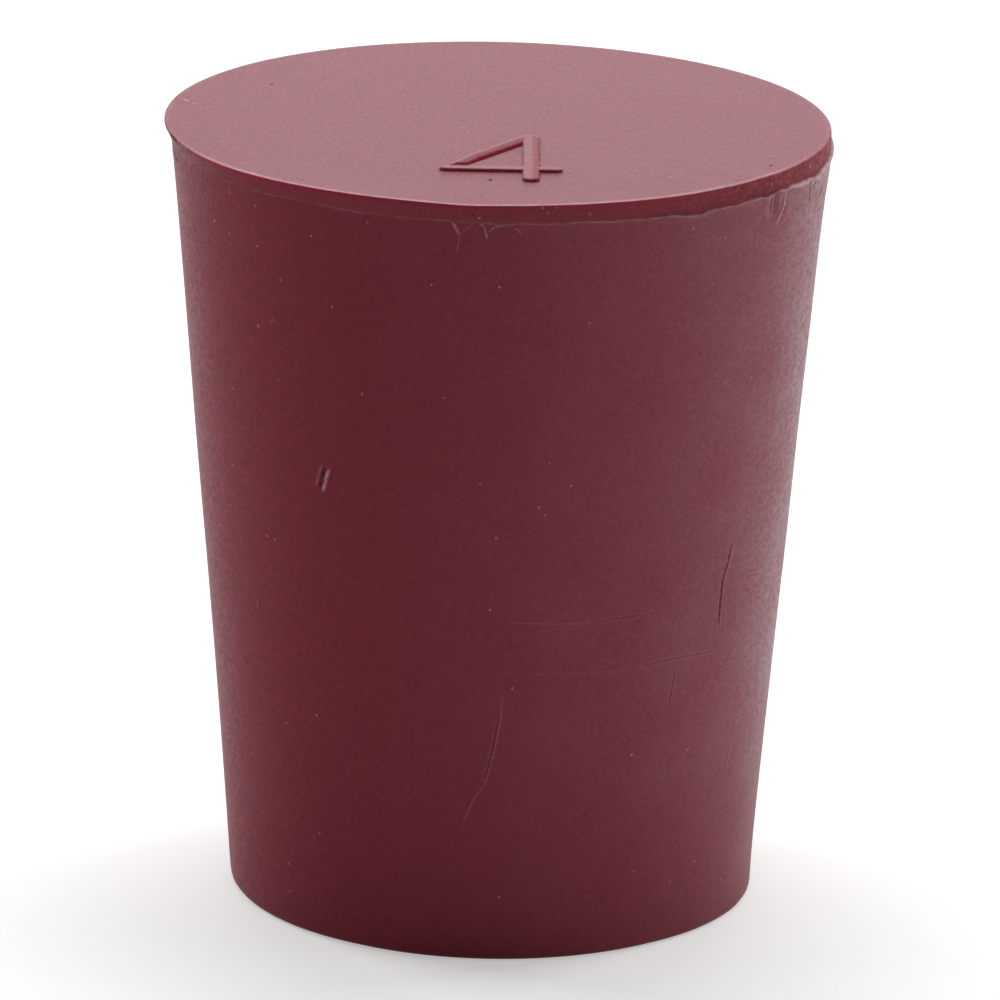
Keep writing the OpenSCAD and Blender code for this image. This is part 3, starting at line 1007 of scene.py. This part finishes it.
def rubber(skin, finish):
    """Vulcanised red rubber, compression moulded. Iron oxide makes it opaque and deep red, the mould leaves
    a faint even grain, and sulphur and talc bloom to the skin as a pale haze. Part of the haze is painted
    sheen and reflection, and the skin carries painted highlights and painted shade."""
    material = bpy.data.materials.new(skin.name)
    material.use_nodes = True
    tree = material.node_tree
    tree.nodes.clear()
    amount = {
        kind: node(tree, "ShaderNodeAttribute", {"attribute_name": kind}, {}).outputs["Fac"]
        for kind in AMOUNTS
    }
    place = node(tree, "ShaderNodeTexCoord", {}, {}).outputs["Object"]
    # The talc was wiped from front to back, which draws the small patterns out that way.
    wiped = node(tree, "ShaderNodeMapping", {}, {"Vector": place, "Scale": (1.0, 0.3, 1.0)}).outputs[0]
    # Three sizes of unevenness: clouds of bloom, freckles of bloom and bare rubber, and filler grain, which
    # is drawn as coarse as a close view needs.
    cloud, freckle, grit = (
        node(
            tree, "ShaderNodeTexNoise", {}, {"Vector": vector, "Scale": per_mm(size), "Detail": detail}
        ).outputs["Fac"]
        for vector, size, detail in ((place, 2.5, 3.0), (wiped, 0.14, 2.0), (wiped, 0.1, 1.0))
    )
    # The middle range of each is stretched to the values that are wanted.
    clouding, hazing, tinting, roughness = (
        node(
            tree, "ShaderNodeMapRange", {},
            {"Value": noise, "From Min": 0.3, "From Max": 0.7,
             "To Min": middle - reach, "To Max": middle + reach},
        ).outputs[0]
        for noise, middle, reach in (
            (cloud, 1.0, 0.25 * skin.patchy), (freckle, 0.0, 0.85 * skin.patchy), (freckle, 0.0, 1.0),
            (grit, skin.roughness, 0.015),
        )
    )
    # Thick bloom freckles more than thin bloom, and all of it is cloudy.
    bloom = amount["bloom"]
    clouded, thick = (
        node(tree, "ShaderNodeMath", {"operation": "MULTIPLY"}, {0: bloom, 1: other}).outputs[0]
        for other in (clouding, bloom)
    )
    haze, tint = (
        node(
            tree, "ShaderNodeMath", {"operation": "MULTIPLY_ADD"}, {0: strength, 1: noise, 2: base}
        ).outputs[0]
        for strength, noise, base in ((thick, hazing, clouded), (amount["freckles"], tinting, 1.0))
    )
    shade = getattr(finish, skin.body)
    thin_or_bare, pale = getattr(finish, skin.deep), getattr(finish, skin.pale)
    # The deep red is painted shade; the haze is bloom and talc, partly painted sheen and reflection.
    for share, over in ((amount["deep"], thin_or_bare), (haze, pale)):
        shade = node(
            tree, "ShaderNodeMix", {"data_type": "RGBA"},
            {"Factor": share, MIX_UNDER: shade, MIX_OVER: over},
        ).outputs[MIX_RESULT]
    shade = node(tree, "ShaderNodeVectorMath", {"operation": "SCALE"}, {0: shade, "Scale": tint}).outputs[0]
    # Worn edges with painted highlights, soil with painted shade, and dust.
    for share, over in (("scuff", finish.worn_and_highlight), ("grime", finish.soil_and_shade), ("dust", finish.dust)):
        shade = node(
            tree, "ShaderNodeMix", {"data_type": "RGBA"},
            {"Factor": amount[share], MIX_UNDER: shade, MIX_OVER: over},
        ).outputs[MIX_RESULT]
    bump = None
    for noise, depth in ((freckle, 0.013), (grit, 0.005)):
        links = {"Height": noise, "Strength": 1.0, "Distance": depth * skin.grain * MM}
        if bump:
            links["Normal"] = bump
        bump = node(tree, "ShaderNodeBump", {}, links).outputs[0]
    shader = node(
        tree, "ShaderNodeBsdfPrincipled", {},
        {"Base Color": shade, "Roughness": roughness, "IOR": 1.52, "Specular IOR Level": skin.gloss,
         "Sheen Weight": skin.sheen, "Sheen Roughness": 0.4, "Sheen Tint": (0.95, 0.85, 0.92, 1.0),
         "Normal": bump},
    )
    node(tree, "ShaderNodeOutputMaterial", {}, {"Surface": shader.outputs[0]})
    return material


def white_for_views(tree, lit, strength):
    """Adds light that only the camera, gloss and clear things see, so that they see white."""
    rays = node(tree, "ShaderNodeLightPath", {}, {})
    seen = rays.outputs["Is Camera Ray"]
    for ray in ("Is Glossy Ray", "Is Transmission Ray"):
        seen = node(
            tree, "ShaderNodeMath", {"operation": "MAXIMUM"}, {0: seen, 1: rays.outputs[ray]}
        ).outputs[0]
    return node(
        tree, "ShaderNodeMath", {"operation": "MULTIPLY_ADD"}, {0: seen, 1: strength, 2: lit}
    ).outputs[0]


def floor_paper(look):
    """Matt white paper. What the camera sees of it is topped up, so that only the faint shadow shows."""
    material = bpy.data.materials.new("Paper_matt_white")
    material.use_nodes = True
    tree = material.node_tree
    tree.nodes.clear()
    matt = node(tree, "ShaderNodeBsdfDiffuse", {}, {"Color": look.floor})
    glow = node(
        tree, "ShaderNodeEmission", {},
        {"Color": WHITE, "Strength": white_for_views(tree, 0.0, look.glow)},
    )
    both = node(tree, "ShaderNodeAddShader", {}, {0: matt.outputs[0], 1: glow.outputs[0]})
    node(tree, "ShaderNodeOutputMaterial", {}, {"Surface": both.outputs[0]})
    return material


def studio(look):
    """A plain grey room that looks white."""
    world = bpy.data.worlds.new("Studio")
    world.use_nodes = True
    tree = world.node_tree
    tree.nodes.clear()
    room = node(
        tree, "ShaderNodeBackground", {},
        {"Color": WHITE, "Strength": white_for_views(tree, look.sky, 1 - look.sky)},
    )
    node(tree, "ShaderNodeOutputWorld", {}, {"Surface": room.outputs[0]})
    return world


def hang_softbox(scene, box, power, aim):
    """A lamp with a rectangular diffuser, turned to its aim."""
    lamp = bpy.data.lights.new(box.name, "AREA")
    lamp.shape = "RECTANGLE"
    lamp.size, lamp.size_y = box.size
    lamp.energy = power
    made = bpy.data.objects.new(box.name, lamp)
    made.location = box.place
    made.rotation_euler = (aim - Vector(box.place)).to_track_quat("-Z", "Y").to_euler()
    made.visible_camera = False
    made.visible_glossy = box.gleams
    scene.collection.objects.link(made)


def set_camera(scene, look, middle):
    """A long lens that looks down on the plug from the front, leaning a little."""
    lens = bpy.data.cameras.new("Camera")
    lens.lens = look.lens
    lens.clip_start, lens.clip_end = 0.01, 5.0
    camera = bpy.data.objects.new("Camera", lens)
    view = Vector((0, math.cos(look.elevation), -math.sin(look.elevation)))
    rise = Vector((0, math.sin(look.elevation), math.cos(look.elevation)))
    camera.location = middle - view * look.distance
    aim = middle + Vector((look.aim_right, 0, 0)) + rise * look.aim_up
    turn = (aim - camera.location).to_track_quat("-Z", "Y").to_matrix().to_4x4()
    camera.matrix_world = Matrix.Translation(camera.location) @ turn @ Matrix.Rotation(look.roll, 4, "Z")
    scene.collection.objects.link(camera)
    scene.camera = camera


def lay_floor(scene, look):
    """A round sheet of paper, wide enough to fill every view from above."""
    bm = bmesh.new()
    bmesh.ops.create_circle(bm, cap_ends=True, segments=96, radius=0.6)
    sheet = bpy.data.meshes.new("Paper_floor")
    bm.to_mesh(sheet)
    bm.free()
    sheet.materials.append(floor_paper(look))
    floor = bpy.data.objects.new("Paper_floor", sheet)
    floor.location.z = LOW.z
    scene.collection.objects.link(floor)


class MouldStopper(bpy.types.Operator):
    """Mould the rubber stopper with its numeral, parting line and wear"""

    bl_idname = "object.mould_rubber_stopper"
    bl_label = "Mould Rubber Stopper"

    def execute(self, context):
        scene = context.scene
        plug = Plug(scene.stopper_sizes, scene.stopper_wear)
        on_wall, on_face = strewn(scene.stopper_wear)
        sheets = (
            wall_sheet(plug, on_wall + list(WALL_SPECKS), list(WALL_GRAINS)),
            face_sheet(plug, on_face + list(FACE_SPECKS), list(FACE_GRAINS)),
            foot_sheet(plug),
        )
        mesh = joined(sheets, "Rubber_stopper")
        if not mesh.polygons:
            raise RuntimeError("the stopper has no faces")
        for skin in SKINS:
            mesh.materials.append(rubber(skin, scene.stopper_finish))
        stopper = bpy.data.objects.new("Rubber_stopper", mesh)
        scene.collection.objects.link(stopper)
        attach(stopper, "root")
        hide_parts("stopper")
        return {"FINISHED"}


class SetStopperStage(bpy.types.Operator):
    """Set the paper floor, the soft lights and the camera"""

    bl_idname = "scene.set_stopper_stage"
    bl_label = "Set Stopper Stage"

    def execute(self, context):
        scene = context.scene
        look = scene.stopper_stage
        middle = Vector((0, 0, (LOW.z + HIGH.z) / 2))
        large_face = Vector((0, 0, HIGH.z))
        set_camera(scene, look, middle)
        lay_floor(scene, look)
        scene.world = studio(look)
        for box in SOFTBOXES:
            hang_softbox(scene, box, getattr(look, box.power), large_face if box.on_face else middle)
        scene.view_settings.view_transform = "Standard"
        return {"FINISHED"}


class StopperPanel(bpy.types.Panel):
    """Sizes, wear, colours and stage of the stopper"""

    bl_idname = "VIEW3D_PT_rubber_stopper"
    bl_label = "Rubber Stopper"
    bl_space_type = "VIEW_3D"
    bl_region_type = "UI"
    bl_category = "Stopper"

    def draw(self, context):
        for key, _ in GROUPS:
            group = getattr(context.scene, key)
            box = self.layout.box()
            for name in group.__annotations__:
                box.prop(group, name)
        for operator in OPERATORS:
            self.layout.operator(operator.bl_idname)


GROUPS = (
    ("stopper_sizes", StopperSizes),
    ("stopper_wear", StopperWear),
    ("stopper_finish", StopperFinish),
    ("stopper_stage", StageLook),
)
OPERATORS = (MouldStopper, SetStopperStage)


def register():
    for key, group in GROUPS:
        bpy.utils.register_class(group)
        setattr(bpy.types.Scene, key, bpy.props.PointerProperty(type=group))
    for kind in OPERATORS + (StopperPanel,):
        bpy.utils.register_class(kind)


def unregister():
    for kind in (StopperPanel,) + OPERATORS[::-1]:
        bpy.utils.unregister_class(kind)
    for key, group in GROUPS[::-1]:
        delattr(bpy.types.Scene, key)
        bpy.utils.unregister_class(group)


def main():
    register()
    bpy.ops.object.mould_rubber_stopper()
    bpy.ops.scene.set_stopper_stage()


if __name__ == "__main__":
    main()
